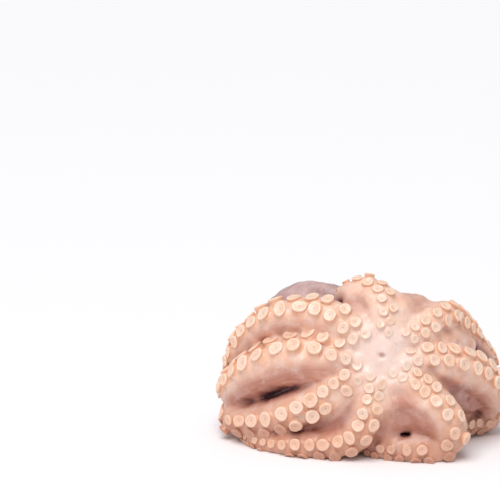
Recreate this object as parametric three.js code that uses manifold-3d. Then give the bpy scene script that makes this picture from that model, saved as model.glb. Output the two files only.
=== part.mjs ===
// A whole raw octopus resting on a table with its mouth side facing -Y and a little up.
// Eight arms spread from the mouth like the petals of a flower and curl back round the body,
// suckers outward; the head and the sack-shaped mantle lie behind them. One piece of flesh, one solid.
// Millimetres, +Z up, origin in the middle of the footprint on the table.
import * as THREE from "three";
import { mergeVertices } from "three/addons/utils/BufferGeometryUtils.js";
import Module from "manifold-3d";

const wasm = await Module();
wasm.setup();

// ---- driving dimensions -------------------------------------------------------------
const armRadius = 16.5; // half the width of a full arm, near its base
const mouthRadius = 4.5; // half the width of an arm where it leaves the mouth
const flare = 0.4; // how fast an arm widens from the mouth, mm of radius per mm
const fullLength = 60; // the stretch from the mouth over which an arm stays full
const taper = 0.55; // how the rest narrows: 1 is a straight cone, less stays fuller
const oralFlatness = 0.9; // an arm is flatter on the side that carries the suckers
const armSides = 8;
const ringSpacing = 15; // distance between the rings of an arm's surface
const suckerSides = 6;
const firstSucker = 11; // distance from the start of an arm to its first sucker
const suckerPitch = 1.12; // distance along the arm to the next one, in sucker radii
const smallestShare = 0.9; // past half the arm, suckers under this share of the largest are left off
const rootedShare = 0.15; // a sucker needs at least this much of itself inside the flesh
const rowGap = 1.04; // the two rows lie this many sucker radii either side of the middle
const centring = new THREE.Vector3(-6, 8, 0); // brings the middle of the footprint to the origin

// Each arm: the points its centre line passes through, mouth first, and the directions its
// suckers face, spread evenly from the mouth to the tip. girth scales its
// thickness, tip is its radius at the end, and sucker is the radius of its largest suckers.
const arms = [
  {
    name: "upper_left",
    girth: 0.97,
    tip: 3,
    sucker: 6,
    route: [
      [9, -53, 85], [-3, -47, 95], [-17, -40, 103], [-32, -33, 105], [-47, -26, 104],
      [-61, -18, 99], [-73, -9, 90], [-83, 1, 79], [-90, 11, 67], [-94, 24, 50], [-85, 40, 41],
      [-67, 52, 37], [-46, 57, 35], [-28, 57, 33],
    ],
    facing: [
      [-0.3, -1, 0.2], [-0.1, -0.6, 1], [-0.5, -0.3, 1], [-1, -0.2, 0.4], [-0.6, 1, 0.2],
      [0, 1, 0],
    ],
  },
  {
    name: "left",
    girth: 1.27,
    tip: 3,
    sucker: 6.4,
    route: [
      [7, -55, 81], [-9, -50, 79], [-24, -46, 77], [-42, -40, 74], [-58, -32, 69], [-73, -22, 60],
      [-84, -10, 49], [-93, 4, 38], [-94, 18, 31], [-86, 35, 26], [-71, 45, 23], [-52, 52, 20],
      [-32, 53, 17], [-14, 50, 14],
    ],
    facing: [
      [-0.3, -1, 0.3], [0, -0.55, 1], [-0.4, -0.45, 1], [-1, 0, 0.3], [-0.5, 1, 0], [0, 1, 0],
    ],
  },
  {
    name: "lower_left",
    girth: 1.03,
    tip: 3,
    sucker: 5.8,
    route: [
      [9, -56, 76], [-4, -54, 67], [-14, -50, 58], [-27, -47, 47], [-42, -43, 37], [-57, -37, 29],
      [-71, -29, 23], [-84, -19, 18], [-94, -7, 16], [-96, 8, 17], [-91, 25, 15], [-78, 38, 13],
      [-61, 46, 12], [-43, 50, 11], [-27, 50, 10],
    ],
    facing: [
      [-0.2, -1, 0.1], [0, -1, 0.1], [0, -1, -0.1], [-1, -0.5, -0.2], [-0.6, 1, 0], [0, 1, 0],
    ],
  },
  {
    name: "bottom_left",
    girth: 0.82,
    tip: 2.5,
    sucker: 5.2,
    route: [
      [13, -56, 75], [11, -57, 66], [9, -59, 55], [6, -61, 42], [2, -61, 29], [-6, -59, 17],
      [-24, -56, 10], [-43, -51, 8], [-60, -44, 6], [-75, -34, 5], [-86, -22, 5], [-92, -8, 4],
    ],
    facing: [
      [0, -1, 0], [0, -1, 0], [0.1, -1, -0.1], [0, -1, -0.1], [-0.3, -1, 0],
    ],
  },
  {
    name: "bottom_right",
    girth: 1.03,
    tip: 3,
    sucker: 5.1,
    route: [
      [17, -56, 76], [25, -55, 70], [34, -57, 62], [45, -59, 52], [55, -61, 42], [63, -61, 31],
      [67, -59, 19], [59, -59, 10], [47, -60, 8], [31, -59, 8], [18, -54, 7], [6, -46, 7],
      [-6, -38, 7], [-18, -34, 7],
    ],
    facing: [
      [0.2, -1, 0], [0.6, -1, 0.4], [0.8, -1, 0.3], [0.4, -1, 0], [-0.1, -1, -0.2], [-0.2, -1, 0],
      [-0.2, -1, 0],
    ],
  },
  {
    name: "right",
    girth: 1.12,
    tip: 4,
    sucker: 5.7,
    route: [
      [20, -56, 80], [39, -51, 77], [56, -45, 72], [74, -35, 65], [90, -22, 55], [102, -10, 42],
      [107, 0, 28], [104, 6, 16], [94, 3, 13], [83, -6, 13], [72, -16, 12], [60, -24, 10],
      [46, -28, 7], [32, -26, 6],
    ],
    facing: [
      [0.3, -1, 0.3], [0.2, -0.8, 0.7], [0.6, -0.7, 0.7], [1, -0.5, 0.2], [0.5, -1, -0.3],
      [0, -1, -0.2], [0, -1, 0],
    ],
  },
  {
    name: "upper_right",
    girth: 0.8,
    tip: 3,
    sucker: 4.8,
    route: [
      [21, -54, 85], [31, -50, 92], [41, -45, 97], [52, -38, 101], [61, -28, 103], [69, -15, 100],
      [80, -3, 88], [90, 6, 73], [99, 14, 60], [104, 23, 47], [101, 34, 30], [91, 47, 18],
      [74, 54, 13], [54, 57, 10], [34, 56, 8],
    ],
    facing: [
      [0.2, -1, 0.2], [0.1, -1, 0.3], [0.3, -0.7, 0.8], [0.8, 0.4, 0.8], [1, 0.2, 0.4],
      [0.6, 1, 0], [0, 1, 0],
    ],
  },
  {
    name: "top",
    girth: 1.1,
    tip: 5,
    sucker: 4.5,
    route: [
      [14, -55, 86], [15, -51, 94], [16, -46, 102], [17, -39, 109], [15, -30, 114], [9, -22, 116],
      [1, -15, 115], [-5, -9, 111], [-9, -4, 104], [-10, 0, 98],
    ],
    facing: [
      [0, -1, 0], [0.2, -1, 0.3], [0.2, -0.6, 1], [0.2, 0, 1], [-0.6, 0.4, 0.6],
    ],
  },
];

// Folds of skin that join neighbouring arms: points along each one, and how thick it is there.
const webs = [
  {
    name: "upper_left_to_top",
    route: [
      [6, -46, 99], [1, -38, 107], [-6, -28, 113],
    ],
    radius: [6, 7, 6],
  },
  {
    name: "upper_left_to_left",
    route: [
      [-5, -48, 88], [-21, -42, 90], [-38, -34, 89], [-57, -24, 83], [-73, -12, 72], [-82, 0, 58],
    ],
    radius: [6, 8, 9, 9, 8, 7],
  },
  {
    name: "left_to_lower_left",
    route: [
      [-16, -46, 66], [-29, -41, 59], [-43, -36, 52], [-56, -30, 46],
    ],
    radius: [7, 8, 7, 5],
  },
  {
    name: "lower_left_to_bottom_left",
    route: [
      [6, -55, 66], [0, -54, 56], [-5, -53, 46], [-11, -52, 37], [-20, -49, 29], [-32, -44, 24],
      [-44, -38, 19],
    ],
    radius: [8, 10, 12, 12, 10, 8, 7],
  },
  {
    name: "bottom_left_to_bottom_right",
    route: [
      [20, -55, 68], [24, -56, 57], [28, -56, 45], [25, -55, 33], [19, -54, 23],
    ],
    radius: [9, 13, 16, 14, 11],
  },
  {
    name: "under_bottom_right",
    route: [
      [34, -56, 55], [41, -56, 45], [45, -57, 32], [35, -57, 33],
    ],
    radius: [12, 15, 12, 11.5],
  },
  {
    name: "bottom_right_to_right",
    route: [
      [33, -54, 71], [48, -50, 64], [60, -44, 55], [70, -37, 46], [79, -26, 37], [88, -12, 30],
    ],
    radius: [7, 9, 10, 10, 9, 8],
  },
  {
    name: "right_to_upper_right",
    route: [
      [32, -50, 83], [48, -44, 88], [62, -36, 88], [74, -26, 86], [84, -16, 77],
    ],
    radius: [7, 9, 9, 9, 8],
  },
  {
    name: "upper_right_to_top",
    route: [
      [19, -52, 89], [24, -45, 101], [30, -34, 110], [42, -25, 110], [52, -20, 106],
    ],
    radius: [7, 10, 12, 11, 9],
  },
  {
    name: "beside_top",
    route: [
      [22, -40, 106], [24, -28, 113], [36, -20, 112],
    ],
    radius: [9, 10, 9],
  },
];

// Smooth lumps of flesh that are not arms: centre and half sizes.
const lumps = [
  { name: "mantle", centre: [-34, 24, 71], half: [50, 38, 49] },
  { name: "head", centre: [32, 10, 65], half: [54, 42, 46] },
  { name: "web", centre: [0, -4, 52], half: [88, 40, 50] },
  { name: "oral_disc", centre: [16, -40, 78], half: [38, 15, 34] },
  { name: "underside", centre: [-6, 12, 16], half: [80, 42, 42] },
  { name: "eye_right", centre: [68, 33, 85], half: [12, 11, 9] },
  { name: "eye_left", centre: [24, 42, 96], half: [12, 9, 10] },
];

// ---- helpers ------------------------------------------------------------------------
const vector = ([x, y, z]) => new THREE.Vector3(x, y, z);

// A closed three.js geometry as a manifold-3d solid.
function solid(geometry) {
  const bare = geometry.clone();
  bare.deleteAttribute("normal");
  bare.deleteAttribute("uv");
  const merged = mergeVertices(bare, 1e-4);
  const mesh = new wasm.Mesh({
    numProp: 3,
    vertProperties: merged.attributes.position.array,
    triVerts: new Uint32Array(merged.index.array),
  });
  return new wasm.Manifold(mesh);
}

// The radius of an arm at a distance from the mouth: it opens out, then tapers to the tip.
function radiusAt(arm, distance, length) {
  const opening = mouthRadius + flare * distance;
  const left = THREE.MathUtils.clamp((length - distance) / (length - fullLength), 0, 1);
  const narrowing = arm.tip + (armRadius * arm.girth - arm.tip) * left ** taper;
  const blend = 2.5;
  return -blend * Math.log(Math.exp(-opening / blend) + Math.exp(-narrowing / blend));
}

// Where an arm is at a distance from the mouth, and which way it runs and faces there.
function stationAt(arm, distance) {
  const share = THREE.MathUtils.clamp(distance / arm.length, 0, 1);
  const along = arm.curve.getTangentAt(share);
  const place = share * (arm.facing.length - 1);
  const first = Math.min(Math.floor(place), arm.facing.length - 2);
  const facing = vector(arm.facing[first]).normalize();
  facing.lerp(vector(arm.facing[first + 1]).normalize(), place - first);
  facing.addScaledVector(along, -facing.dot(along)).normalize();
  return {
    centre: arm.curve.getPointAt(share),
    along,
    facing,
    across: along.clone().cross(facing),
    radius: radiusAt(arm, distance, arm.length),
  };
}

// An arm: a sphere drawn out along the centre line, its poles at the mouth and at the tip.
// Its rings are polygons of the same area as the round arm.
const ringScale = Math.sqrt((2 * Math.PI) / armSides / Math.sin((2 * Math.PI) / armSides));

function armGeometry(arm) {
  const rings = Math.ceil(arm.length / ringSpacing);
  const geometry = new THREE.SphereGeometry(1, armSides, rings);
  const position = geometry.attributes.position;
  for (let ring = 0; ring <= rings; ring++) {
    const station = stationAt(arm, (ring / rings) * arm.length);
    const isPole = ring === 0 || ring === rings;
    for (let side = 0; side <= armSides; side++) {
      const index = ring * (armSides + 1) + side;
      const turn = (side / armSides) * 2 * Math.PI;
      const oral = -Math.cos(turn) * (Math.cos(turn) < 0 ? oralFlatness : 1);
      const radius = isPole ? 0 : station.radius * ringScale;
      const point = station.centre.clone();
      point.addScaledVector(station.facing, oral * radius);
      point.addScaledVector(station.across, Math.sin(turn) * radius);
      position.setXYZ(index, point.x, point.y, point.z);
    }
  }
  return geometry;
}

// A sucker of radius 1 that opens along +Y: a short cup with a dished face.
function suckerGeometry() {
  const profile = [
    [0, -0.9],
    [1, 0.35],
    [0.55, 0.55],
    [0, 0.2],
  ];
  return new THREE.LatheGeometry(
    profile.map(([r, y]) => new THREE.Vector2(r, y)),
    suckerSides,
  );
}

// The radius of the sucker at a distance from the mouth: small by the mouth and at the tip.
function suckerRadiusAt(arm, distance) {
  const growing = Math.min(1, 0.68 + (0.32 * (distance - 8)) / 45);
  const full = Math.min(85, 0.6 * arm.length);
  const shrinking = THREE.MathUtils.clamp((arm.length - distance) / (arm.length - full), 0, 1);
  return arm.sucker * growing * shrinking ** taper;
}

// Whether a point lies inside another arm, a fold or a lump, where a sucker would not show.
function isBuried(point, own) {
  const near = ({ centre, radius }) => centre.distanceTo(point) < 0.95 * radius;
  const inArm = arms.some((arm) => arm !== own && arm.stations.some(near));
  const inWeb = webs.some((web) => web.stations.some(near));
  const inLump = lumps.some(({ centre, half }) =>
    point.clone().sub(vector(centre)).divide(vector(half)).length() < 0.97,
  );
  return inArm || inWeb || inLump;
}

// The suckers of an arm, in two rows that take turns. taken holds those already placed.
function suckerGeometries(arm, taken) {
  const made = [];
  let side = 1;
  let distance = firstSucker;
  while (distance < arm.length) {
    const radius = suckerRadiusAt(arm, distance);
    if (radius < smallestShare * arm.sucker && distance > arm.length / 2) break;
    const station = stationAt(arm, distance);
    const angle = side * Math.asin(Math.min(0.85, (rowGap * radius) / station.radius));
    const outward = station.facing.clone().multiplyScalar(Math.cos(angle));
    outward.addScaledVector(station.across, Math.sin(angle));
    const foot = station.centre.clone().addScaledVector(outward, station.radius * oralFlatness);
    const isCrowded = taken.some((t) => t.foot.distanceTo(foot) < 0.85 * (t.radius + radius));
    if (!isBuried(foot, arm) && !isCrowded) {
      const turn = new THREE.Quaternion().setFromUnitVectors(new THREE.Vector3(0, 1, 0), outward);
      const size = new THREE.Vector3(radius, radius, radius);
      made.push(suckerGeometry().applyMatrix4(new THREE.Matrix4().compose(foot, turn, size)));
      taken.push({ foot, radius });
    }
    distance += radius * suckerPitch;
    side = -side;
  }
  return made;
}

// A fold: balls along its route, each pair wrapped in one skin.
function webSolids({ route, radius }) {
  const balls = route.map((centre, i) =>
    solid(new THREE.SphereGeometry(radius[i], 8, 6).rotateX(Math.PI / 2).translate(...centre)),
  );
  return balls.slice(1).map((ball, i) => wasm.Manifold.hull([balls[i], ball]));
}

function lumpGeometry({ centre, half }) {
  const isSmall = Math.max(...half) < 20;
  const geometry = new THREE.SphereGeometry(1, isSmall ? 8 : 16, isSmall ? 6 : 10);
  geometry.rotateX(Math.PI / 2);
  geometry.scale(...half);
  return geometry.translate(...centre);
}

// ---- the octopus --------------------------------------------------------------------
for (const arm of arms) {
  arm.curve = new THREE.CatmullRomCurve3(arm.route.map(vector), false, "centripetal");
  arm.curve.arcLengthDivisions = 400;
  arm.length = arm.curve.getLength();
  const count = Math.ceil(arm.length / 3);
  arm.stations = Array.from({ length: count }, (_, i) => stationAt(arm, (i / count) * arm.length));
}

for (const web of webs) {
  web.stations = web.route.map((point, i) => ({ centre: vector(point), radius: web.radius[i] }));
}

const join = (pieces) => pieces.reduce((whole, piece) => whole.add(piece));
const bare = join([
  ...lumps.map((lump) => solid(lumpGeometry(lump))),
  ...webs.flatMap(webSolids),
  ...arms.map((arm) => solid(armGeometry(arm))),
]);
const taken = [];
const suckers = arms
  .flatMap((arm) => suckerGeometries(arm, taken))
  .map(solid)
  .filter((sucker) => sucker.intersect(bare).volume() > rootedShare * sucker.volume());
let flesh = join([bare, ...suckers]);

// What would sink below the table is cut off flat, which is what the octopus rests on.
const table = new THREE.BoxGeometry(600, 600, 100).translate(0, 0, -50);
flesh = flesh.subtract(solid(table)).translate(centring.toArray());

// Only the largest body is kept: no loose scrap, and no hollow sealed inside the flesh.
const [whole] = flesh.decompose().sort((a, b) => b.volume() - a.volume());
const joined = whole.getMesh();
const geometry = new THREE.BufferGeometry();
geometry.setAttribute("position", new THREE.BufferAttribute(joined.vertProperties, 3));
geometry.setIndex(new THREE.BufferAttribute(joined.triVerts, 1));
geometry.computeVertexNormals();

const skin = new THREE.MeshStandardMaterial({ color: 0xe3bda6, roughness: 0.35, metalness: 0 });
const octopus = new THREE.Mesh(geometry, skin);
octopus.name = "octopus";
const group = new THREE.Group();
group.add(octopus);

export default group;
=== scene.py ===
"""A whole raw octopus, mouth side to the camera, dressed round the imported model.

The flesh is one distance field: eight arms swept along their centre lines, the webs between them,
the head and the mantle, blended smoothly near the mouth and kept apart further out. Suckers are
found along the arms, the field gets a short stalk of flesh under each, and it becomes one mesh.
The suckers are a mesh for each arm. Lengths are millimetres in the model's frame up to new_mesh,
which turns them into metres.
"""
import functools
import itertools
import math

import bpy
import numpy as np
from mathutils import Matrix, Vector


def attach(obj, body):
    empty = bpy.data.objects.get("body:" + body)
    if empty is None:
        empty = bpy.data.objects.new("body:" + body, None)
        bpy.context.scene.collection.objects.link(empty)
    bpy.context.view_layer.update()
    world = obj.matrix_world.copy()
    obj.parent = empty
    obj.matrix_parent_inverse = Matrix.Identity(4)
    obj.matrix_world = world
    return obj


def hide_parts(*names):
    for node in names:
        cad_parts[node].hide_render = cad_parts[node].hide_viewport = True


MM = 0.001

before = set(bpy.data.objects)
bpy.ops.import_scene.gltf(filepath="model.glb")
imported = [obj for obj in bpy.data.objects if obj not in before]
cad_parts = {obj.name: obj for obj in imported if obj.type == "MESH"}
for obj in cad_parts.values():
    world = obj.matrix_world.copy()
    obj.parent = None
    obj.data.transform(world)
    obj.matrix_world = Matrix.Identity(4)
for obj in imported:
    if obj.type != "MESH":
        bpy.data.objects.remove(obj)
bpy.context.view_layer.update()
rng = np.random.default_rng(8)

# ---- driving dimensions, as in the model ------------------------------------------------
ARM_RADIUS = 16.5  # half the width of a full arm, near its base
MOUTH_RADIUS = 4.5  # half the width of an arm where it leaves the mouth
FLARE = 0.4  # how fast an arm widens from the mouth, mm of radius per mm
FULL_LENGTH = 60  # the stretch from the mouth over which an arm stays full
TAPER = 0.55  # how the rest narrows: 1 is a straight cone, less stays fuller
ORAL_FLATNESS = 0.9  # an arm is flatter on the side that carries the suckers
FIRST_SUCKER = 11  # distance from the start of an arm to its first sucker
ROW_GAP = 1.04  # the two rows lie this many sucker radii either side of the middle
SUCKER_PITCH = 1.12  # distance along the arm to the next one, in sucker radii
CENTRING = np.array([-6.0, 8.0, 0.0])  # brings the middle of the footprint to the origin
MOUTH = np.array([15.0, -53.0, 80.0]) + CENTRING

# Each arm: its thickness as a share of ARM_RADIUS, its radius at the tip, the radius of its
# largest suckers, the points its centre line passes through, mouth first, and the ways its
# suckers face, spread evenly from the mouth to the tip.
ARMS = {
    "upper_left": {
        "girth": 0.97,
        "tip": 3,
        "sucker": 6,
        "route": [
            (9, -53, 85), (-3, -47, 95), (-17, -40, 103), (-32, -33, 105), (-47, -26, 104),
            (-61, -18, 99), (-73, -9, 90), (-83, 1, 79), (-90, 11, 67), (-94, 24, 50),
            (-85, 40, 41), (-67, 52, 37), (-46, 57, 35), (-28, 57, 33),
        ],
        "facing": [
            (-0.3, -1, 0.2), (-0.1, -0.6, 1), (-0.5, -0.3, 1), (-1, -0.2, 0.4), (-0.6, 1, 0.2),
            (0, 1, 0),
        ],
    },
    "left": {
        "girth": 1.27,
        "tip": 3,
        "sucker": 6.4,
        "route": [
            (7, -55, 81), (-9, -50, 79), (-24, -46, 77), (-42, -40, 74), (-58, -32, 69),
            (-73, -22, 60), (-84, -10, 49), (-93, 4, 38), (-94, 18, 31), (-86, 35, 26),
            (-71, 45, 23), (-52, 52, 20), (-32, 53, 17), (-14, 50, 14),
        ],
        "facing": [
            (-0.3, -1, 0.3), (0, -0.55, 1), (-0.4, -0.45, 1), (-1, 0, 0.3), (-0.5, 1, 0),
            (0, 1, 0),
        ],
    },
    "lower_left": {
        "girth": 1.03,
        "tip": 3,
        "sucker": 5.8,
        "route": [
            (9, -56, 76), (-4, -54, 67), (-14, -50, 58), (-27, -47, 47), (-42, -43, 37),
            (-57, -37, 29), (-71, -29, 23), (-84, -19, 18), (-94, -7, 16), (-96, 8, 17),
            (-91, 25, 15), (-78, 38, 13), (-61, 46, 12), (-43, 50, 11), (-27, 50, 10),
        ],
        "facing": [
            (-0.2, -1, 0.1), (0, -1, 0.1), (0, -1, -0.1), (-1, -0.5, -0.2), (-0.6, 1, 0),
            (0, 1, 0),
        ],
    },
    "bottom_left": {
        "girth": 0.82,
        "tip": 2.5,
        "sucker": 5.2,
        "route": [
            (13, -56, 75), (11, -57, 66), (9, -59, 55), (6, -61, 42), (2, -61, 29), (-6, -59, 17),
            (-24, -56, 10), (-43, -51, 8), (-60, -44, 6), (-75, -34, 5), (-86, -22, 5), (-92, -8, 4),
        ],
        "facing": [(0, -1, 0), (0, -1, 0), (0.1, -1, -0.1), (0, -1, -0.1), (-0.3, -1, 0)],
    },
    "bottom_right": {
        "girth": 1.03,
        "tip": 3,
        "sucker": 5.1,
        "route": [
            (17, -56, 76), (25, -55, 70), (34, -57, 62), (45, -59, 52), (55, -61, 42), (63, -61, 31),
            (67, -59, 19), (59, -59, 10), (47, -60, 8), (31, -59, 8), (18, -54, 7), (6, -46, 7),
            (-6, -38, 7), (-18, -34, 7),
        ],
        "facing": [
            (0.2, -1, 0), (0.6, -1, 0.4), (0.8, -1, 0.3), (0.4, -1, 0), (-0.1, -1, -0.2),
            (-0.2, -1, 0), (-0.2, -1, 0),
        ],
    },
    "right": {
        "girth": 1.12,
        "tip": 4,
        "sucker": 5.7,
        "route": [
            (20, -56, 80), (39, -51, 77), (56, -45, 72), (74, -35, 65), (90, -22, 55), (102, -10, 42),
            (107, 0, 28), (104, 6, 16), (94, 3, 13), (83, -6, 13), (72, -16, 12), (60, -24, 10),
            (46, -28, 7), (32, -26, 6),
        ],
        "facing": [
            (0.3, -1, 0.3), (0.2, -0.8, 0.7), (0.6, -0.7, 0.7), (1, -0.5, 0.2), (0.5, -1, -0.3),
            (0, -1, -0.2), (0, -1, 0),
        ],
    },
    "upper_right": {
        "girth": 0.8,
        "tip": 3,
        "sucker": 4.8,
        "route": [
            (21, -54, 85), (31, -50, 92), (41, -45, 97), (52, -38, 101), (61, -28, 103),
            (69, -15, 100), (80, -3, 88), (90, 6, 73), (99, 14, 60), (104, 23, 47),
            (101, 34, 30), (91, 47, 18), (74, 54, 13), (54, 57, 10), (34, 56, 8),
        ],
        "facing": [
            (0.2, -1, 0.2), (0.1, -1, 0.3), (0.3, -0.7, 0.8), (0.8, 0.4, 0.8), (1, 0.2, 0.4),
            (0.6, 1, 0), (0, 1, 0),
        ],
    },
    "top": {
        "girth": 1.1,
        "tip": 5,
        "sucker": 4.5,
        "route": [
            (14, -55, 86), (15, -51, 94), (16, -46, 102), (17, -39, 109), (15, -30, 114),
            (9, -22, 116), (1, -15, 115), (-5, -9, 111), (-9, -4, 104), (-10, 0, 98),
        ],
        "facing": [
            (0, -1, 0), (0.2, -1, 0.3), (0.2, -0.6, 1), (0.2, 0, 1), (-0.6, 0.4, 0.6),
        ],
    },
}

# Folds of skin that join neighbouring arms: points along each one, and its radius there.
WEBS = {
    "upper_left_to_top": {
        "route": [(6, -46, 99), (1, -38, 107), (-6, -28, 113)],
        "radius": [6, 7, 6],
    },
    "upper_left_to_left": {
        "route": [
            (-5, -48, 88), (-21, -42, 90), (-38, -34, 89), (-57, -24, 83), (-73, -12, 72), (-82, 0, 58),
        ],
        "radius": [6, 8, 9, 9, 8, 7],
    },
    "left_to_lower_left": {
        "route": [(-16, -46, 66), (-29, -41, 59), (-43, -36, 52), (-56, -30, 46)],
        "radius": [7, 8, 7, 5],
    },
    "lower_left_to_bottom_left": {
        "route": [
            (6, -55, 66), (0, -54, 56), (-5, -53, 46), (-11, -52, 37), (-20, -49, 29), (-32, -44, 24),
            (-44, -38, 19),
        ],
        "radius": [8, 10, 12, 12, 10, 8, 7],
    },
    "bottom_left_to_bottom_right": {
        "route": [(20, -55, 68), (24, -56, 57), (28, -56, 45), (25, -55, 33), (19, -54, 23)],
        "radius": [9, 13, 16, 14, 11],
    },
    "under_bottom_right": {
        "route": [(34, -56, 55), (41, -56, 45), (45, -57, 32), (35, -57, 33)],
        "radius": [12, 15, 12, 11.5],
    },
    "bottom_right_to_right": {
        "route": [
            (33, -54, 71), (48, -50, 64), (60, -44, 55), (70, -37, 46), (79, -26, 37), (88, -12, 30),
        ],
        "radius": [7, 9, 10, 10, 9, 8],
    },
    "right_to_upper_right": {
        "route": [(32, -50, 83), (48, -44, 88), (62, -36, 88), (74, -26, 86), (84, -16, 77)],
        "radius": [7, 9, 9, 9, 8],
    },
    "upper_right_to_top": {
        "route": [(19, -52, 89), (24, -45, 101), (30, -34, 110), (42, -25, 110), (52, -20, 106)],
        "radius": [7, 10, 12, 11, 9],
    },
    "beside_top": {
        "route": [(22, -40, 106), (24, -28, 113), (36, -20, 112)],
        "radius": [9, 10, 9],
    },
}
# The stretched webs, which are paler and less shaded.
LIGHT_WEBS = ("bottom_left_to_bottom_right", "under_bottom_right")

# Smooth lumps of flesh that are not arms: centre and half sizes.
LUMPS = {
    "mantle": ((-34, 24, 71), (50, 38, 49)),
    "head": ((32, 10, 65), (54, 42, 46)),
    "web": ((0, -4, 52), (88, 40, 50)),
    "oral_disc": ((16, -40, 78), (38, 15, 34)),
    "underside": ((-6, 12, 16), (80, 42, 42)),
    "eye_right": ((68, 33, 85), (12, 11, 9)),
    "eye_left": ((24, 42, 96), (12, 9, 10)),
}

# Hollows cut into the flesh: centre and half sizes.
PITS = {
    "mouth": ((15, -62, 82), (2.6, 3, 1.8)),
    "eye_slit_right": ((76.5, 38.5, 89), (7, 7, 1.4)),
    "eye_slit_left": ((22, 49.5, 102), (7, 6, 1.4)),
    "behind_bottom_right": ((34, -53, 19.6), (5.5, 13, 0.8)),
}

# ---- how the flesh is meshed and blended, mm ---------------------------------------------
STEP = 1.25  # spacing of the distance field
FAR = 30.0  # the distance given to places that are nowhere near
MARGIN = 9.0  # how far outside an arm or a web its distance is worked out
ARM_STATIONS = 1.5  # spacing of the stations along an arm
STATIONS_A_LINK = 3  # stations that one straight link of an arm's field spans
BODY_BLEND = 9  # between head and mantle
LUMP_BLEND = 6  # between them and the smaller lumps
WEB_BLEND = 5  # between webs and the rest
PIT_BLEND = 2.5
STALK_WIDTH, STALK_HEIGHT = 0.9, 0.32  # of the flesh under a sucker, in sucker radii

# How far into a fold a place lies is felt out by this many ways, at these distances.
FEELERS = 24
FEELER_REACHES = (2.5, 6.0, 11.0, 18.0, 27.0)


def unit(v):
    v = np.asarray(v, float)
    return v / np.linalg.norm(v, axis=-1, keepdims=True)


def smoothstep(low, high, x):
    t = np.clip((x - low) / (high - low), 0, 1)
    return t * t * (3 - 2 * t)


def smooth_min(a, b, blend):
    """The smaller of two distances, rounded where they're within blend of each other."""
    h = np.clip(0.5 + 0.5 * (b - a) / blend, 0, 1)
    return b + (a - b) * h - blend * h * (1 - h)


# ---- arms: centre lines and what runs along them ----------------------------------------
def centre_line(points, spacing):
    """A centripetal Catmull-Rom curve through the points, at even distances."""
    points = np.asarray(points, float) + CENTRING
    ends = np.vstack([2 * points[0] - points[1], points, 2 * points[-1] - points[-2]])
    line = []
    for p0, p1, p2, p3 in zip(ends, ends[1:], ends[2:], ends[3:]):
        t0 = 0
        t1 = t0 + math.sqrt(np.linalg.norm(p1 - p0))
        t2 = t1 + math.sqrt(np.linalg.norm(p2 - p1))
        t3 = t2 + math.sqrt(np.linalg.norm(p3 - p2))
        t = np.linspace(t1, t2, 24, endpoint=False)[:, None]
        a1 = ((t1 - t) * p0 + (t - t0) * p1) / (t1 - t0)
        a2 = ((t2 - t) * p1 + (t - t1) * p2) / (t2 - t1)
        a3 = ((t3 - t) * p2 + (t - t2) * p3) / (t3 - t2)
        b1 = ((t2 - t) * a1 + (t - t0) * a2) / (t2 - t0)
        b2 = ((t3 - t) * a2 + (t - t1) * a3) / (t3 - t1)
        line.append(((t2 - t) * b1 + (t - t1) * b2) / (t2 - t1))
    line = np.vstack([*line, points[-1:]])
    run = np.r_[0, np.cumsum(np.linalg.norm(np.diff(line, axis=0), axis=1))]
    distance = np.linspace(0, run[-1], int(run[-1] / spacing) + 1)
    return np.stack([np.interp(distance, run, line[:, k]) for k in range(3)], 1), distance


def sweep(arm, spacing):
    """The arm's stations: centre, direction, the way its suckers face, and its radius."""
    centre, distance = centre_line(arm["route"], spacing)
    along = unit(np.gradient(centre, axis=0))
    ways = unit(arm["facing"])
    place = np.linspace(0, 1, len(ways))
    share = distance / distance[-1]
    facing = np.stack([np.interp(share, place, ways[:, k]) for k in range(3)], 1)
    facing = unit(facing - (facing * along).sum(1, keepdims=True) * along)
    opening = MOUTH_RADIUS + FLARE * distance
    left = np.clip((distance[-1] - distance) / (distance[-1] - FULL_LENGTH), 0, 1)
    taper = arm["tip"] + (ARM_RADIUS * arm["girth"] - arm["tip"]) * left**TAPER
    blend = 2.5
    return {
        "centre": centre,
        "distance": distance,
        "length": distance[-1],
        "sucker": arm["sucker"],
        "along": along,
        "facing": facing,
        "across": np.cross(along, facing),
        "radius": -blend * np.log(np.exp(-opening / blend) + np.exp(-taper / blend)),
    }


# ---- the distance field -----------------------------------------------------------------
class Grid:
    """A box of evenly spaced points that hold a distance each."""

    def __init__(self, low, high, step):
        self.low, self.step = np.asarray(low, float), step
        self.shape = tuple(int(n) for n in np.ceil((np.asarray(high) - low) / step) + 1)
        axes = [self.low[k] + step * np.arange(self.shape[k]) for k in range(3)]
        self.axes = [a.astype(np.float32) for a in axes]

    def window(self, low, high):
        """The slices of the grid that cover a box, and the points in them."""
        start = np.maximum(np.floor((low - self.low) / self.step).astype(int), 0)
        stop = np.minimum(np.ceil((high - self.low) / self.step).astype(int) + 1, self.shape)
        cut = tuple(slice(a, b) for a, b in zip(start, stop))
        points = np.stack(np.meshgrid(*[self.axes[k][cut[k]] for k in range(3)], indexing="ij"), -1)
        return cut, points

    def sample(self, field, points):
        """The field at any points, by trilinear interpolation."""
        place = (points - self.low) / self.step
        place = np.clip(place, 0, np.array(self.shape) - 1.001)
        cell = place.astype(int)
        part = place - cell
        total = np.zeros(len(points))
        for i, j, k in itertools.product((0, 1), repeat=3):
            weight = np.prod(np.where((i, j, k), part, 1 - part), axis=1)
            total += weight * field[cell[:, 0] + i, cell[:, 1] + j, cell[:, 2] + k]
        return total

    def slope(self, field, points, reach):
        """The field's direction of steepest rise, over a reach in mm."""
        steps = np.eye(3) * reach
        rise = [self.sample(field, points + s) - self.sample(field, points - s) for s in steps]
        return unit(np.stack(rise, 1) + 1e-9)


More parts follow.
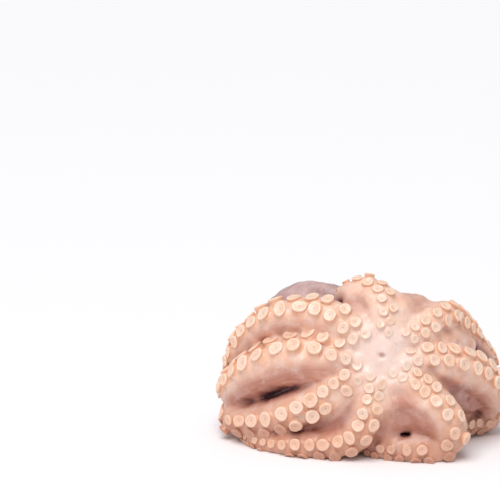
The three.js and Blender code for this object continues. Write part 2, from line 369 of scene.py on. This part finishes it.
def arm_field(grid, arm):
    """Distance to one arm's surface, near it. The side with the suckers is a little flatter."""
    field = np.full(grid.shape, FAR, np.float32)
    last = len(arm["centre"]) - 1
    keys = [*range(0, last, STATIONS_A_LINK), last]
    for a, b in zip(keys, keys[1:]):
        p, q = arm["centre"][a], arm["centre"][b]
        reach = max(arm["radius"][a], arm["radius"][b]) + MARGIN
        cut, points = grid.window(np.minimum(p, q) - reach, np.maximum(p, q) + reach)
        run = q - p
        share = np.clip((points - p) @ run / (run @ run), 0, 1)[..., None]
        away = points - (p + share * run)
        length = np.linalg.norm(away, axis=-1) + 1e-6
        facing = arm["facing"][a] + share * (arm["facing"][b] - arm["facing"][a])
        oral = (away * facing).sum(-1) / length
        radius = arm["radius"][a] + share[..., 0] * (arm["radius"][b] - arm["radius"][a])
        distance = length - radius * (1 - (1 - ORAL_FLATNESS) * np.clip(oral, 0, 1) ** 2)
        field[cut] = np.minimum(field[cut], distance)
    return field


def web_field(grid, web):
    """Distance to a fold of skin between two arms: a chain of tapered capsules."""
    field = np.full(grid.shape, FAR, np.float32)
    line = np.asarray(web["route"], float) + CENTRING
    for p, q, r0, r1 in zip(line, line[1:], web["radius"], web["radius"][1:]):
        reach = max(r0, r1) + MARGIN
        cut, points = grid.window(np.minimum(p, q) - reach, np.maximum(p, q) + reach)
        run = q - p
        share = np.clip((points - p) @ run / (run @ run), 0, 1)
        distance = np.linalg.norm(points - (p + share[..., None] * run), axis=-1)
        field[cut] = smooth_min(field[cut], distance - r0 - share * (r1 - r0), 2)
    return field


def lump_field(points, centre, half):
    """Distance to an ellipsoid, nearly."""
    place = (points - (np.asarray(centre) + CENTRING)) / half
    near = np.linalg.norm(place, axis=-1) + 1e-6
    distance = near * (near - 1) / (np.linalg.norm(place / half, axis=-1) + 1e-6)
    return distance.astype(np.float32)


def unevenness(points, shortest, longest, height):
    """Gentle random swellings and dents: a sum of waves between two lengths."""
    total = np.zeros(points.shape[:-1], np.float32)
    waves = 12
    for _ in range(waves):
        way = unit(rng.normal(size=3)) * 2 * math.pi / rng.uniform(shortest, longest)
        total += np.sin(points @ way.astype(np.float32) + rng.uniform(0, 6.3)).astype(np.float32)
    return height * total * math.sqrt(2 / waves)


def relax(values, quads, rounds, shares):
    """Moves each vertex's values towards its neighbours' mean, or away where a share is below 0."""
    ends = np.concatenate([quads[:, [0, 1]], quads[:, [1, 2]], quads[:, [2, 3]], quads[:, [3, 0]]])
    ends = np.concatenate([ends, ends[:, ::-1]])
    count = np.bincount(ends[:, 0], minlength=len(values))[:, None]
    for _ in range(rounds):
        for share in shares:
            near = [np.bincount(ends[:, 0], column[ends[:, 1]], len(values)) for column in values.T]
            values = values + share * (np.stack(near, 1) / count - values)
    return values


def surface_net(field, grid):
    """The mesh where the field is zero: one vertex in each cell that the surface crosses."""
    inside = field < 0
    cells = tuple(n - 1 for n in field.shape)
    offsets = list(itertools.product((0, 1), repeat=3))
    count = np.zeros(cells, np.int8)
    for i, j, k in offsets:
        count += inside[i : i + cells[0], j : j + cells[1], k : k + cells[2]]
    active = np.argwhere((count > 0) & (count < 8))
    number = np.full(cells, -1, np.int32)
    number[tuple(active.T)] = np.arange(len(active))
    corner = np.stack([field[tuple((active + o).T)] for o in offsets], 1)
    total = np.zeros((len(active), 3))
    crossings = np.zeros(len(active))
    for a, b in itertools.combinations(range(8), 2):
        if sum(x != y for x, y in zip(offsets[a], offsets[b])) != 1:
            continue
        crossed = (corner[:, a] < 0) != (corner[:, b] < 0)
        share = corner[crossed, a] / (corner[crossed, a] - corner[crossed, b])
        start, end = np.array(offsets[a]), np.array(offsets[b])
        total[crossed] += start + share[:, None] * (end - start)
        crossings[crossed] += 1
    vertices = grid.low + grid.step * (active + total / crossings[:, None])
    quads = []
    for axis in range(3):
        side_a, side_b = (axis + 1) % 3, (axis + 2) % 3
        first = [slice(None)] * 3
        second = [slice(None)] * 3
        first[axis], second[axis] = slice(0, -1), slice(1, None)
        here, there = inside[tuple(first)], inside[tuple(second)]
        for outward in (True, False):
            edges = np.argwhere((here & ~there) if outward else (~here & there))
            edges = edges[(edges[:, side_a] > 0) & (edges[:, side_b] > 0)]
            ring = []
            for da, db in ((1, 1), (0, 1), (0, 0), (1, 0)):
                cell = edges.copy()
                cell[:, side_a] -= da
                cell[:, side_b] -= db
                ring.append(number[tuple(cell.T)])
            quads.append(np.stack(ring if outward else ring[::-1], 1))
    return vertices, np.vstack(quads)


def new_mesh(name, vertices, quads):
    """A smooth mesh object from millimetre vertices and an array of quads."""
    mesh = bpy.data.meshes.new(name)
    mesh.vertices.add(len(vertices))
    mesh.vertices.foreach_set("co", (np.asarray(vertices) * MM).astype(np.float32).ravel())
    mesh.loops.add(quads.size)
    mesh.loops.foreach_set("vertex_index", quads.astype(np.int32).ravel())
    mesh.polygons.add(len(quads))
    mesh.polygons.foreach_set("loop_start", np.arange(0, quads.size, quads.shape[1], dtype=np.int32))
    mesh.polygons.foreach_set("use_smooth", np.full(len(quads), True))
    mesh.update(calc_edges=True)
    mesh.validate()
    piece = bpy.data.objects.new(name, mesh)
    bpy.context.scene.collection.objects.link(piece)
    return piece


def set_attribute(piece, name, values):
    """Gives each vertex a number for the material to read."""
    attribute = piece.data.attributes.new(name, "FLOAT", "POINT")
    attribute.data.foreach_set("value", np.asarray(values, np.float32))


# ---- build the flesh --------------------------------------------------------------------
grid = Grid((-128, -88, -4), (128, 82, 150), STEP)
_, points = grid.window(grid.low, grid.low + np.array(grid.shape) * STEP)
from_mouth = np.linalg.norm(points - MOUTH, axis=-1)
blend = 2.0 + 5.5 * (1 - smoothstep(22, 75, from_mouth))

arms = {name: sweep(arm, ARM_STATIONS) for name, arm in ARMS.items()}
all_arms = functools.reduce(
    lambda joined, field: smooth_min(joined, field, blend),
    [arm_field(grid, arm) for arm in arms.values()],
)
web_fields = {name: web_field(grid, web) for name, web in WEBS.items()}
all_webs = functools.reduce(lambda joined, field: smooth_min(joined, field, 3), web_fields.values())

lump_fields = {name: lump_field(points, *lump) for name, lump in LUMPS.items()}
body = smooth_min(lump_fields["mantle"], lump_fields["head"], BODY_BLEND)
for name in ("web", "oral_disc", "underside", "eye_right", "eye_left"):
    body = smooth_min(body, lump_fields[name], LUMP_BLEND)

flesh = smooth_min(all_arms, body, np.maximum(blend, 2.5))
flesh = smooth_min(flesh, all_webs, WEB_BLEND)
flesh += unevenness(points, 10, 26, 0.45) + unevenness(points, 5, 9, 0.16)
for pit in PITS.values():
    flesh = -smooth_min(-flesh, lump_field(points, *pit), PIT_BLEND)
flesh = np.maximum(flesh, -points[..., 2])  # flat where it rests on the table


def occlusion(points, normals, with_floor=False):
    """How deep in a fold each point lies: the share of ways out that flesh blocks, 0 to 1."""
    ways = unit(rng.normal(size=(FEELERS, 3)))
    closed = np.zeros(len(points))
    for way in ways:
        out = unit(normals + 0.9 * way)
        blocked = np.zeros(len(points))
        for reach in FEELER_REACHES:
            there = points + reach * out
            into = np.clip(-grid.sample(flesh, there) / 1.5 + 0.3, 0, 1)
            blocked = np.maximum(blocked, into)
            if with_floor:
                blocked = np.maximum(blocked, there[:, 2] < 0)
        closed += blocked / len(ways)
    return closed


# ---- suckers ----------------------------------------------------------------------------
def sucker_radius(arm, distance):
    """The radius of the sucker at a distance from the mouth: small there and at the tip."""
    growing = min(1, 0.68 + 0.32 * (distance - 8) / 45)
    full = min(85, 0.6 * arm["length"])
    shrinking = np.clip((arm["length"] - distance) / (arm["length"] - full), 0, 1)
    return arm["sucker"] * growing * shrinking**TAPER


def find_suckers(arm, taken):
    """Where the arm's suckers sit on the flesh: (foot, outward, along, radius) for each."""
    found = []
    distance, side = FIRST_SUCKER, 1
    while distance < arm["length"] - 3:
        radius = max(sucker_radius(arm, distance), 1.0)
        i = int(round(distance / arm["length"] * (len(arm["centre"]) - 1)))
        size = arm["radius"][i]
        turn = side * math.asin(min(0.85, ROW_GAP * radius / size))
        way = math.cos(turn) * arm["facing"][i] + math.sin(turn) * arm["across"][i]
        tries = np.arange(0.3 * size, 1.5 * size + 3, 0.25)
        line = arm["centre"][i] + tries[:, None] * way
        level = grid.sample(flesh, line)
        out = np.argmax(level > 0)
        if level[out] > 0 and level[0] < 0:
            foot = line[out]
            outward = unit(0.5 * way + 0.5 * grid.slope(flesh, foot[None], 2.5)[0])
            free = grid.sample(flesh, (foot + outward * radius * 0.9)[None])[0]
            crowded = any(np.linalg.norm(foot - f) < 0.92 * (radius + r) for f, r in taken)
            if free > 0.35 * radius and foot[2] > 1.0 and not crowded:
                found.append((foot, outward, arm["along"][i], radius))
                taken.append((foot, radius))
        distance += radius * SUCKER_PITCH
        side = -side
    return found


# Half a section through a sucker of radius 1, as (across, up): from inside the flesh out over
# the wall and the rim, down through the groove and the disc, and into the hole.
SUCKER_PROFILE = [
    (0.84, -0.3), (0.87, 0.0), (0.91, 0.18), (0.96, 0.34), (0.99, 0.47), (0.99, 0.57), (0.95, 0.66),
    (0.88, 0.71), (0.79, 0.73), (0.69, 0.71), (0.6, 0.66), (0.5, 0.63), (0.4, 0.625), (0.31, 0.61),
    (0.23, 0.57), (0.15, 0.52), (0.08, 0.5),
]
SUCKER_SIDES = 28


def sucker_mesh(name, found):
    """All the suckers of an arm as one piece, each a little different."""
    profile = np.array(SUCKER_PROFILE)
    turn = np.linspace(0, 2 * np.pi, SUCKER_SIDES, endpoint=False)
    vertices, quads, tone, tint, pale = [], [], [], [], []
    count = 0
    for foot, outward, along, radius in found:
        along = unit(along - (along @ outward) * outward)
        tilt = rng.normal(0, 0.12, 2)
        outward = unit(outward + tilt[0] * along + tilt[1] * np.cross(outward, along))
        along = unit(along - (along @ outward) * outward)
        across = np.cross(outward, along)
        size = radius * rng.uniform(0.93, 1.05)
        oval = 1 + rng.normal(0, 0.05)
        wobble = 1 + sum(0.08 / k * np.sin(k * turn + rng.uniform(0, 6.3)) for k in (2, 3, 4, 7))
        grown = smoothstep(12, 38, np.linalg.norm(foot - MOUTH))
        height = profile[:, 1] * rng.uniform(0.7, 1.05) * (0.6 + 0.4 * grown)
        ring = profile[:, 0, None] * wobble
        points = (
            foot
            + size * height[:, None, None] * outward
            + size * oval * (ring * np.cos(turn))[..., None] * along
            + size / oval * (ring * np.sin(turn))[..., None] * across
        ).reshape(-1, 3)
        rows, n = len(profile), SUCKER_SIDES
        i, j = np.meshgrid(np.arange(rows - 1), np.arange(n), indexing="ij")
        a, b = i * n + j, i * n + (j + 1) % n
        quads.append(count + np.stack([a, b, b + n, a + n], -1).reshape(-1, 4))
        vertices.append(points)
        tone.append(np.repeat(np.linspace(0, 1, rows), n))
        # the cap in the hole and the one inside the arm, as fans of quads
        for row, flip in ((rows - 1, False), (0, True)):
            edge = count + row * n + np.arange(n)
            middle = count + rows * n + (1 if flip else 0)
            after = np.roll(edge, -2)
            fan = np.stack([edge[0::2], edge[1::2], after[0::2], np.full(n // 2, middle)], 1)
            quads.append(fan[:, ::-1] if flip else fan)
        vertices.append(np.array([points[-n:].mean(0), points[:n].mean(0)]))
        tone.append(np.array([1.0, 0.0]))
        tint.append(np.full(rows * n + 2, rng.uniform()))
        pale.append(np.full(rows * n + 2, 1 - grown))
        count += rows * n + 2
    vertices = np.vstack(vertices)
    vertices[:, 2] = np.maximum(vertices[:, 2], 0)  # pressed flat where it meets the table
    piece = new_mesh(name, vertices, np.vstack(quads))
    set_attribute(piece, "ring", np.concatenate(tone))
    set_attribute(piece, "tint", np.concatenate(tint))
    set_attribute(piece, "pale", np.concatenate(pale))
    # painted shade near the table
    set_attribute(piece, "low", 1 - smoothstep(5, 48, vertices[:, 2]))
    # painted shade: how far the flesh and the table shut each sucker in, which darkens its colour
    outwards = np.array([outward for _, outward, _, _ in found])
    tops = np.array([foot + radius * outward for foot, outward, _, radius in found])
    shade = occlusion(tops, outwards, with_floor=True)
    set_attribute(piece, "shade", np.repeat(shade, len(vertices) // len(found)))
    return piece


taken = []
suckers = {name: find_suckers(arm, taken) for name, arm in arms.items()}
print("suckers", {name: len(found) for name, found in suckers.items()})

# a short stalk of flesh under each sucker
for foot, outward, _, radius in itertools.chain(*suckers.values()):
    cut, near = grid.window(foot - 2.2 * radius, foot + 2.2 * radius)
    away = near - foot
    height = away @ outward
    stalk = np.sqrt(np.maximum((away**2).sum(-1) - height**2, 0)) - STALK_WIDTH * radius
    stalk = -smooth_min(-stalk, STALK_HEIGHT * radius - height, 0.3 * radius)
    flesh[cut] = smooth_min(flesh[cut], stalk, 0.5 * radius)

vertices, quads = surface_net(flesh, grid)
vertices = relax(vertices, quads, 3, (0.5, -0.52))  # smooths, then swells, so nothing shrinks
vertices[:, 2] = np.maximum(vertices[:, 2], 0)
print("skin", len(vertices), len(quads))
skin = new_mesh("flesh", vertices, quads)


# ---- colour masks -----------------------------------------------------------------------
# hide: skin of the head and mantle; web: folds of skin between arms, for a mauve tint that is partly
# painted shade;
# open: the stretched webs; pale: near the mouth; low: near the table, for painted shade there; fold:
# how far into a fold, for painted shade and glints in creases; oral: the side of an arm that carries
# the suckers; collar: round the foot of a sucker, for an orange halo that is partly painted shade;
# height: share of the full height.
normals = grid.slope(flesh, vertices, 1.2)
height = vertices[:, 2]
mouth_away = np.linalg.norm(vertices - MOUTH, axis=1)
arms_near = grid.sample(all_arms, vertices)
webs_near = grid.sample(all_webs, vertices)
light_near = np.min([grid.sample(web_fields[name], vertices) for name in LIGHT_WEBS], axis=0)
set_attribute(skin, "hide", smoothstep(-2, 3, arms_near - grid.sample(body, vertices)))
set_attribute(skin, "pale", 1 - smoothstep(10, 46, mouth_away))
# the webs low down and away from the mouth, for a mauve tint that is partly painted shade in the
# hollows
web = smoothstep(-1.5, 1.5, arms_near - webs_near)
set_attribute(skin, "web", web * (1 - smoothstep(36, 70, height)) * smoothstep(25, 45, mouth_away))
set_attribute(skin, "open", 1 - smoothstep(1, 9, light_near))
set_attribute(skin, "height", height / 125)
# painted shade: how near the table a place lies, which darkens its colour there
set_attribute(skin, "low", 0.6 * (1 - smoothstep(5, 48, height)))
# painted shade: how far each place lies in a fold, which darkens its colour in creases and hollows
fold = occlusion(vertices, normals)[:, None]
set_attribute(skin, "fold", relax(fold, quads, 8, (0.8,))[:, 0])

# oral, and places on the arms for streaks that run along them, both from the nearest arm
oral = np.zeros((len(vertices), 1))
streak = np.zeros((len(vertices), 3))
nearest = np.full(len(vertices), 1e9)
for arm in arms.values():
    for i in range(0, len(arm["centre"]), 2):
        close = np.where((np.abs(vertices - arm["centre"][i]) < 24).all(1))[0]
        away = vertices[close] - arm["centre"][i]
        length = np.linalg.norm(away, axis=1) + 1e-6
        gap = length - arm["radius"][i]
        closer = gap < nearest[close]
        close, away, length, gap = close[closer], away[closer], length[closer], gap[closer]
        nearest[close] = gap
        oral[close, 0] = (away @ arm["facing"][i]) / length
        turn = np.arctan2(away @ arm["across"][i], away @ arm["facing"][i])
        run = arm["distance"][i] + away @ arm["along"][i]
        girth = arm["radius"][i]
        streak[close] = np.stack([0.12 * run, girth * np.cos(turn), girth * np.sin(turn)], 1)
set_attribute(skin, "oral", relax(oral, quads, 14, (0.8,))[:, 0])
streak = relax(streak, quads, 6, (0.8,))
attribute = skin.data.attributes.new("streak", "FLOAT_VECTOR", "POINT")
attribute.data.foreach_set("vector", (streak * MM).astype(np.float32).ravel())

# round the foot of each sucker, for an orange halo that is partly the flesh's own colour and partly
# painted shade
collar = np.full(len(vertices), 9.0)
for foot, _, _, radius in itertools.chain(*suckers.values()):
    close = np.where((np.abs(vertices - foot) < 2.2 * radius).all(1))[0]
    gap = np.linalg.norm(vertices[close] - foot, axis=1) / radius
    collar[close] = np.minimum(collar[close], gap)
set_attribute(skin, "collar", 1 - smoothstep(0.9, 1.5, collar))


# ---- materials --------------------------------------------------------------------------
def srgb(r, g, b):
    """A colour as read off a screen, 0 to 255, in the linear values that shaders take."""
    made = [c / 255 for c in (r, g, b)]
    return tuple(c / 12.92 if c < 0.04045 else ((c + 0.055) / 1.055) ** 2.4 for c in made) + (1,)


class Nodes:
    """Short calls for the few kinds of shader node that the materials use."""

    def __init__(self, name):
        self.material = bpy.data.materials.new(name)
        self.material.use_nodes = True
        self.tree = self.material.node_tree
        self.shader = self.tree.nodes["Principled BSDF"]

    def link(self, source, target):
        self.tree.links.new(source, target)

    def mask(self, name):
        """A number that set_attribute gave the vertices."""
        node = self.tree.nodes.new("ShaderNodeAttribute")
        node.attribute_name = name
        return node.outputs["Fac"]

    def noise(self, scale, detail=3, roughness=0.5, distortion=0.0, place=None):
        node = self.tree.nodes.new("ShaderNodeTexNoise")
        node.inputs["Scale"].default_value = scale
        node.inputs["Detail"].default_value = detail
        node.inputs["Roughness"].default_value = roughness
        node.inputs["Distortion"].default_value = distortion
        self.link(place or self.place(), node.inputs["Vector"])
        return node.outputs["Fac"]

    def vector(self, name):
        node = self.tree.nodes.new("ShaderNodeAttribute")
        node.attribute_name = name
        return node.outputs["Vector"]

    def place(self):
        return self.tree.nodes.new("ShaderNodeTexCoord").outputs["Object"]

    def remap(self, value, low, high, to_low=0.0, to_high=1.0):
        node = self.tree.nodes.new("ShaderNodeMapRange")
        node.inputs["From Min"].default_value = low
        node.inputs["From Max"].default_value = high
        node.inputs["To Min"].default_value = to_low
        node.inputs["To Max"].default_value = to_high
        self.link(value, node.inputs["Value"])
        return node.outputs["Result"]

    def math(self, kind, a, b):
        node = self.tree.nodes.new("ShaderNodeMath")
        node.operation = kind
        for socket, value in zip(node.inputs, (a, b)):
            if isinstance(value, (int, float)):
                socket.default_value = value
            else:
                self.link(value, socket)
        return node.outputs["Value"]

    def mix(self, share, a, b):
        node = self.tree.nodes.new("ShaderNodeMix")
        node.data_type = "RGBA"
        share_socket, a_socket, b_socket = node.inputs[0], node.inputs[6], node.inputs[7]
        for socket, value in ((share_socket, share), (a_socket, a), (b_socket, b)):
            if isinstance(value, (int, float, tuple)):
                socket.default_value = value
            else:
                self.link(value, socket)
        return node.outputs[2]

    def product(self, *factors):
        return functools.reduce(lambda a, b: self.math("MULTIPLY", a, b), factors)

    def bump(self, height, strength, distance, before=None):
        node = self.tree.nodes.new("ShaderNodeBump")
        node.inputs["Strength"].default_value = strength
        node.inputs["Distance"].default_value = distance
        self.link(height, node.inputs["Height"])
        if before is not None:
            self.link(before, node.inputs["Normal"])
        return node.outputs["Normal"]

    def ramp(self, value, stops):
        node = self.tree.nodes.new("ShaderNodeValToRGB")
        node.color_ramp.elements[0].position, node.color_ramp.elements[0].color = stops[0]
        node.color_ramp.elements[1].position, node.color_ramp.elements[1].color = stops[-1]
        for position, colour in stops[1:-1]:
            node.color_ramp.elements.new(position).color = colour
        self.link(value, node.inputs["Fac"])
        return node.outputs["Color"]


def wet(nodes, roughness, coat, subsurface):
    """Soft flesh that lets light in a little, under a wet film."""
    shader = nodes.shader
    shader.inputs["Roughness"].default_value = roughness
    shader.inputs["IOR"].default_value = 1.4
    shader.inputs["Coat Weight"].default_value = coat
    shader.inputs["Coat Roughness"].default_value = 0.16
    shader.inputs["Subsurface Weight"].default_value = subsurface
    shader.inputs["Subsurface Radius"].default_value = (1.0, 0.5, 0.4)
    shader.inputs["Subsurface Scale"].default_value = 0.004


def flesh_material():
    n = Nodes("octopus_flesh")
    flank = n.ramp(
        n.mask("height"),
        [(0.0, srgb(178, 120, 100)), (0.5, srgb(200, 135, 110)), (0.85, srgb(228, 181, 160))],
    )
    blotches = n.remap(n.noise(38, 3, 0.55, 0.4), 0.38, 0.62, 0.45, 0)
    flank = n.mix(blotches, flank, srgb(178, 120, 108))
    streaks = n.noise(260, 2, 0.5, 0.0, n.vector("streak"))
    flank = n.mix(n.remap(streaks, 0.48, 0.75, 0, 0.4), flank, srgb(228, 190, 178))

    mottle = n.remap(n.noise(80, 3, 0.55), 0.35, 0.65)
    oral_side = n.mix(mottle, srgb(234, 183, 156), srgb(245, 211, 190))
    topmost = n.remap(n.mask("height"), 0.55, 1, 0, 0.15)
    oral_side = n.mix(topmost, oral_side, srgb(246, 216, 202))
    ruddy = n.remap(n.noise(130, 3, 0.6, 0.6), 0.52, 0.7, 0, 0.5)
    oral_side = n.mix(ruddy, oral_side, srgb(236, 180, 146))

    colour = n.mix(n.remap(n.mask("oral"), 0.25, 0.8), flank, oral_side)
    # milky pale patches, more on the side with the suckers: partly the skin's own colour, partly
    # painted sheen
    clouds = n.remap(n.noise(90, 4, 0.5, 0.4), 0.48, 0.7)
    milky_patches_and_sheen = n.product(clouds, n.remap(n.mask("oral"), 0, 1, 0.25, 0.65))
    colour = n.mix(milky_patches_and_sheen, colour, srgb(240, 216, 208))
    # orange halo round each sucker's foot: partly the flesh's own colour, partly painted shade under
    # the sucker
    ring = n.product(n.mask("collar"), n.remap(n.noise(160, 3), 0.35, 0.7, 0.1, 1))
    colour = n.mix(ring, colour, srgb(229, 168, 132))
    # mauve veining on the webs, partly their own colour and partly painted shade in the hollows; shown
    # also scales the painted crease shade, less on the stretched webs
    shown = n.remap(n.mask("open"), 0, 1, 1, 0.4)
    mauve_veins_and_shade = n.product(n.remap(n.noise(70, 4, 0.6, 0.8), 0.35, 0.65, 0.1, 0.45), shown)
    colour = n.mix(n.product(n.mask("web"), mauve_veins_and_shade), colour, srgb(148, 102, 102))

    cloudy = n.remap(n.noise(48, 5, 0.65, 0.5), 0.35, 0.65)
    hide = n.mix(cloudy, srgb(170, 130, 127), srgb(216, 183, 178))
    specks = n.remap(n.noise(1100, 2, 0.5), 0.56, 0.66, 0, 0.4)
    hide = n.mix(specks, hide, srgb(118, 78, 76))
    colour = n.mix(n.mask("hide"), colour, hide)

    pale = n.product(n.mask("pale"), n.remap(n.noise(75, 3), 0.25, 0.65, 0.55, 1))
    colour = n.mix(pale, colour, srgb(240, 216, 206))
    flecks = n.remap(n.noise(520, 2), 0.66, 0.74, 0, 0.35)
    colour = n.mix(flecks, colour, srgb(196, 112, 80))
    # painted shade near the table
    colour = n.mix(n.mask("low"), colour, srgb(186, 126, 102))

    # painted shade in the creases, darker still deep in the folds, with small painted glints on the wet
    # skin there
    fold = n.mask("fold")
    colour = n.mix(n.product(n.remap(fold, 0.12, 0.5), shown), colour, srgb(163, 104, 90))
    deep = n.product(n.remap(fold, 0.38, 0.66), n.remap(n.mask("oral"), 0.5, 1, 1, 0.2))
    colour = n.mix(deep, colour, srgb(92, 52, 52))
    glints = n.product(deep, n.remap(n.noise(700, 2), 0.58, 0.68, 0, 0.6))
    colour = n.mix(glints, colour, srgb(186, 146, 146))
    n.link(colour, n.shader.inputs["Base Color"])

    wrinkle = n.bump(n.noise(600, 4, 0.6), 0.3, 0.0004)
    wrinkle = n.bump(streaks, 0.3, 0.001, wrinkle)
    wrinkle = n.bump(n.noise(150, 3, 0.5), 0.5, 0.0012, wrinkle)
    n.link(wrinkle, n.shader.inputs["Normal"])
    wet(n, 0.42, 0.4, 0.25)
    return n.material


def sucker_material():
    n = Nodes("octopus_sucker")
    # from the foot of the wall, over the rim and the groove, to the hole
    colour = n.ramp(
        n.mask("ring"),
        [
            (0.0, srgb(233, 182, 152)),
            (0.18, srgb(238, 190, 162)),
            (0.3, srgb(245, 208, 184)),
            (0.42, srgb(247, 218, 198)),
            (0.54, srgb(249, 222, 204)),
            (0.64, srgb(239, 203, 181)),
            (0.76, srgb(245, 214, 195)),
            (0.86, srgb(240, 208, 189)),
            (1.0, srgb(222, 189, 172)),
        ],
    )
    patches = n.remap(n.noise(140, 3), 0.35, 0.65)
    uneven = n.product(patches, n.remap(n.mask("tint"), 0, 1, 0.1, 0.7))
    colour = n.mix(uneven, colour, srgb(236, 180, 142))
    colour = n.mix(n.product(n.mask("pale"), 0.7), colour, srgb(243, 214, 200))
    # painted shade near the table
    colour = n.mix(n.product(n.mask("low"), 0.5), colour, srgb(224, 167, 136))
    # painted shade where the flesh and the table shut a sucker in
    shade = n.remap(n.mask("shade"), 0.12, 0.65, 0, 0.65)
    colour = n.mix(shade, colour, srgb(178, 118, 94))
    n.link(colour, n.shader.inputs["Base Color"])
    n.link(n.bump(n.noise(500, 3), 0.25, 0.0004), n.shader.inputs["Normal"])
    wet(n, 0.4, 0.4, 0.2)
    return n.material


flesh_look = flesh_material()
sucker_look = sucker_material()
skin.data.materials.append(flesh_look)
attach(skin, "root")
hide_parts("octopus")
for name, found in suckers.items():
    piece = sucker_mesh(f"suckers_{name}", found)
    piece.data.materials.append(sucker_look)
    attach(piece, "root")
    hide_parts("octopus")


# ---- floor, light and camera ------------------------------------------------------------
def add_floor():
    mesh = bpy.data.meshes.new("floor")
    far = 12  # metres, so that it fills the view
    corners = [(-far, -far, 0), (far, -far, 0), (far, far, 0), (-far, far, 0)]
    mesh.from_pydata(corners, [], [(0, 1, 2, 3)])
    floor = bpy.data.objects.new("floor", mesh)
    bpy.context.scene.collection.objects.link(floor)
    n = Nodes("floor")
    n.shader.inputs["Base Color"].default_value = srgb(251, 250, 253)
    n.shader.inputs["Roughness"].default_value = 0.6
    floor.data.materials.append(n.material)


def add_sun(name, towards, strength, angle):
    data = bpy.data.lights.new(name, "SUN")
    data.energy, data.angle = strength, math.radians(angle)
    lamp = bpy.data.objects.new(name, data)
    lamp.rotation_euler = (-Vector(towards)).to_track_quat("-Z", "Y").to_euler()
    bpy.context.scene.collection.objects.link(lamp)


def add_softbox(place, energy, size):
    data = bpy.data.lights.new("softbox", "AREA")
    data.energy, data.size = energy, size
    lamp = bpy.data.objects.new("softbox", data)
    lamp.location = place
    lamp.rotation_euler = (Vector((0, 0, 0.06)) - Vector(place)).to_track_quat("-Z", "Y").to_euler()
    bpy.context.scene.collection.objects.link(lamp)


def add_camera():
    """The front foot of the octopus stands at a pixel of the frame, at a scale and a tilt."""
    lens, sensor, image = 140.0, 36.0, 500
    pixels_per_mm = 1.3
    tilt = math.radians(12)
    foot = Vector((0, -65, 0)) + Vector(CENTRING)
    foot_pixel = (361, 460)
    depth = image * lens / sensor / pixels_per_mm
    forward = Vector((0, math.cos(tilt), -math.sin(tilt)))
    up = Vector((0, math.sin(tilt), math.cos(tilt)))
    right = (foot_pixel[0] - image / 2) / pixels_per_mm
    down = (foot_pixel[1] - image / 2) / pixels_per_mm
    data = bpy.data.cameras.new("camera")
    data.lens, data.sensor_width = lens, sensor
    data.clip_start, data.clip_end = 0.05, 50
    camera = bpy.data.objects.new("camera", data)
    camera.location = (foot - forward * depth + up * down - Vector((1, 0, 0)) * right) * MM
    camera.rotation_mode = "QUATERNION"
    camera.rotation_quaternion = forward.to_track_quat("-Z", "Y")
    bpy.context.scene.collection.objects.link(camera)
    bpy.context.scene.camera = camera


add_floor()
add_sun("key", (-0.2, -0.55, 1.3), 1.93, 40)
add_softbox((-0.5, -0.9, 0.95), 1.6, 0.3)
add_camera()
world = bpy.data.worlds.new("studio")
world.use_nodes = True
world.node_tree.nodes["Background"].inputs["Color"].default_value = (1, 1, 1, 1)
world.node_tree.nodes["Background"].inputs["Strength"].default_value = 0.5
bpy.context.scene.world = world
bpy.context.scene.view_settings.view_transform = "Standard"
